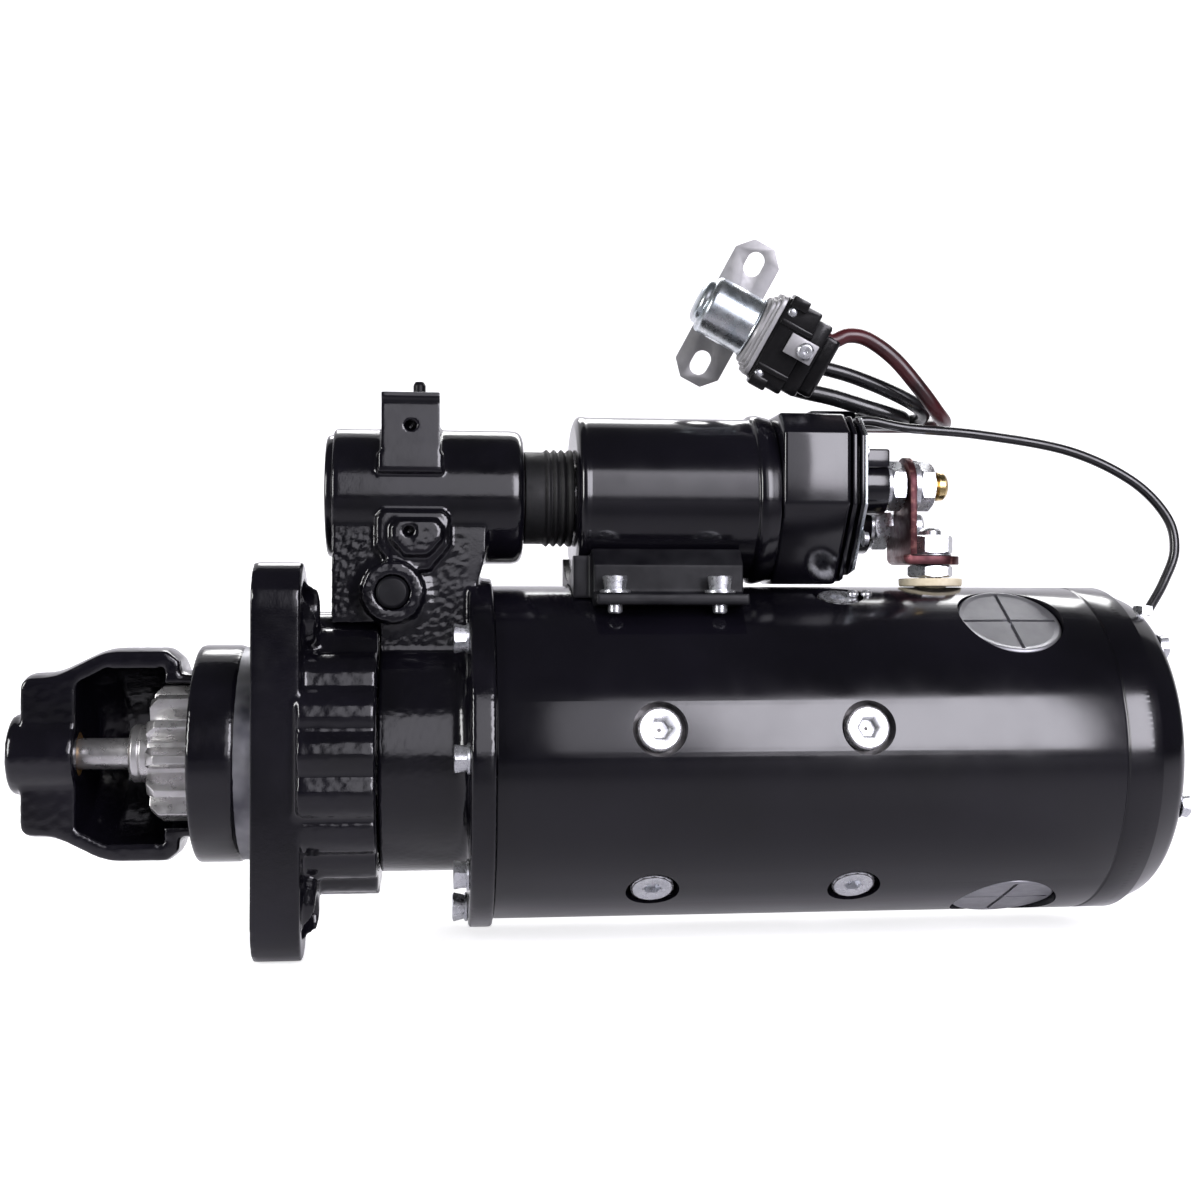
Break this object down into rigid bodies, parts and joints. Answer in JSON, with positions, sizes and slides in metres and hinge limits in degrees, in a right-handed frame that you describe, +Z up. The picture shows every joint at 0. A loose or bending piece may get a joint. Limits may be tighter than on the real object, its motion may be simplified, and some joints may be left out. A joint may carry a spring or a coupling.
{
  "type": "starter motor",
  "caption": "Heavy-duty axial starter motor: sliding pinion in an open nose, three-lobe flange, solenoid and fork on top, relay and leads at the rear.",
  "frame": {"origin": "on the mounting flange's front face, between the pilot and a bolt lobe, 55 mm from the shaft axis on the side away from the nose window", "axes": "+X along the armature shaft from the flange to the commutator end, +Z up from the shaft to the solenoid, +Y away from the nose window; the shaft axis is the line Y = -55 mm, Z = 0"},
  "size_m": [0.5031, 0.1653, 0.3075],
  "materials": {
    "black_paint": "gloss black enamel over cast and rolled steel, rough cast texture on the fork housing",
    "zinc": "bright zinc plate",
    "blue_zinc": "blue passivated zinc plate",
    "steel": "machined steel, satin",
    "iron": "soft iron, machined",
    "grey_alloy": "die cast, satin grey",
    "copper": "copper, varnished on the coils",
    "red_copper": "copper strap, tarnished red-brown",
    "bronze": "sintered bronze, oiled",
    "bakelite": "moulded black",
    "rubber": "matt moulded rubber",
    "cream": "cream insulating board",
    "carbon": "copper-graphite brush, matt",
    "red_cable": "dark red insulation",
    "black_cable": "black insulation, satin"
  },
  "bodies": {
    "housing": {"drive_housing": "black_paint", "nose_bushing": "bronze", "fork_housing": "black_paint", "barrel_plug": "black_paint", "centre_bushing": "bronze", "fork_pivot_pin": "iron", "field_frame": "black_paint", "field_coils": "copper", "pole_shoe_1": "iron", "pole_shoe_2": "iron", "pole_shoe_3": "iron", "pole_shoe_4": "iron", "pole_shoe_5": "iron", "pole_shoe_6": "iron", "brush_plug_1": "grey_alloy", "brush_plug_2": "grey_alloy", "brush_plug_3": "grey_alloy", "rear_cover": "black_paint", "rear_bushing": "bronze", "brush_holder": "bakelite", "solenoid_case": "black_paint", "solenoid_coil": "copper", "solenoid_core": "iron", "solenoid_cap": "black_paint", "motor_stud": "zinc", "motor_nut": "zinc", "battery_stud": "zinc", "rubber_boot": "rubber", "solenoid_saddle": "black_paint", "saddle_bolt_1": "zinc", "saddle_bolt_2": "zinc", "connector_strap": "red_copper", "field_stud": "zinc", "field_nut": "zinc", "field_insulator": "cream", "relay_can": "blue_zinc", "relay_bracket": "blue_zinc", "relay_base": "bakelite", "red_lead": "red_cable", "thin_lead": "black_cable", "thick_lead": "black_cable", "ground_lead": "black_cable"},
    "armature": {"armature_shaft": "steel", "armature_core": "iron", "armature_winding": "copper", "commutator": "copper"},
    "drive": {"clutch_shell": "steel", "meshing_spring": "steel", "shift_collar": "iron"},
    "pinion_set": {"pinion": "steel", "pinion_ring": "steel"},
    "fork": {"shift_fork": "iron"},
    "plunger_set": {"plunger": "steel", "return_spring": "steel"},
    "contact": {"contact_disc": "copper"},
    "relay_armature": {"relay_plunger": "iron"},
    "brush_block_1": {"brush_1": "carbon"},
    "brush_block_2": {"brush_2": "carbon"},
    "brush_block_3": {"brush_3": "carbon"},
    "brush_block_4": {"brush_4": "carbon"}
  },
  "joints": [
    {"name": "armature_spin", "type": "hinge", "parent": "housing", "child": "armature", "pos_m": [0.2, -0.055, 0], "axis": [1, 0, 0], "continuous": true},
    {"name": "drive_slide", "type": "slide", "parent": "armature", "child": "drive", "axis": [-1, 0, 0], "range_m": [0, 0.018]},
    {"name": "pinion_overrun", "type": "hinge", "parent": "drive", "child": "pinion_set", "pos_m": [-0.03, -0.055, 0], "axis": [1, 0, 0], "continuous": true},
    {"name": "fork_swing", "type": "hinge", "parent": "housing", "child": "fork", "pos_m": [0.0548, -0.055, 0.0684], "axis": [0, 1, 0], "range_deg": [0, 15.1]},
    {"name": "plunger_slide", "type": "slide", "parent": "housing", "child": "plunger_set", "axis": [1, 0, 0], "range_m": [0, 0.0108], "stiffness_N_per_m": 1500, "springref_m": -0.012, "deforming": ["return_spring"]},
    {"name": "contact_slide", "type": "slide", "parent": "housing", "child": "contact", "axis": [1, 0, 0], "range_m": [0, 0.004]},
    {"name": "relay_slide", "type": "slide", "parent": "housing", "child": "relay_armature", "axis": [0.887, 0, -0.4617], "range_m": [0, 0.002], "stiffness_N_per_m": 600, "springref_m": -0.003},
    {"name": "brush_1_slide", "type": "slide", "parent": "housing", "child": "brush_block_1", "axis": [0, -0.7071, 0.7071], "range_m": [0, 0.006], "stiffness_N_per_m": 800, "springref_m": -0.008},
    {"name": "brush_2_slide", "type": "slide", "parent": "housing", "child": "brush_block_2", "axis": [0, 0.7071, 0.7071], "range_m": [0, 0.006], "stiffness_N_per_m": 800, "springref_m": -0.008},
    {"name": "brush_3_slide", "type": "slide", "parent": "housing", "child": "brush_block_3", "axis": [0, 0.7071, -0.7071], "range_m": [0, 0.006], "stiffness_N_per_m": 800, "springref_m": -0.008},
    {"name": "brush_4_slide", "type": "slide", "parent": "housing", "child": "brush_block_4", "axis": [0, -0.7071, -0.7071], "range_m": [0, 0.006], "stiffness_N_per_m": 800, "springref_m": -0.008}
  ],
  "couplings": [
    {"joint": "fork_swing", "follows": "drive_slide", "rad_per_m": 14.64},
    {"joint": "plunger_slide", "follows": "drive_slide", "ratio": 0.6},
    {"joint": "contact_slide", "follows": "drive_slide", "ratio": 0.2222}
  ]
}
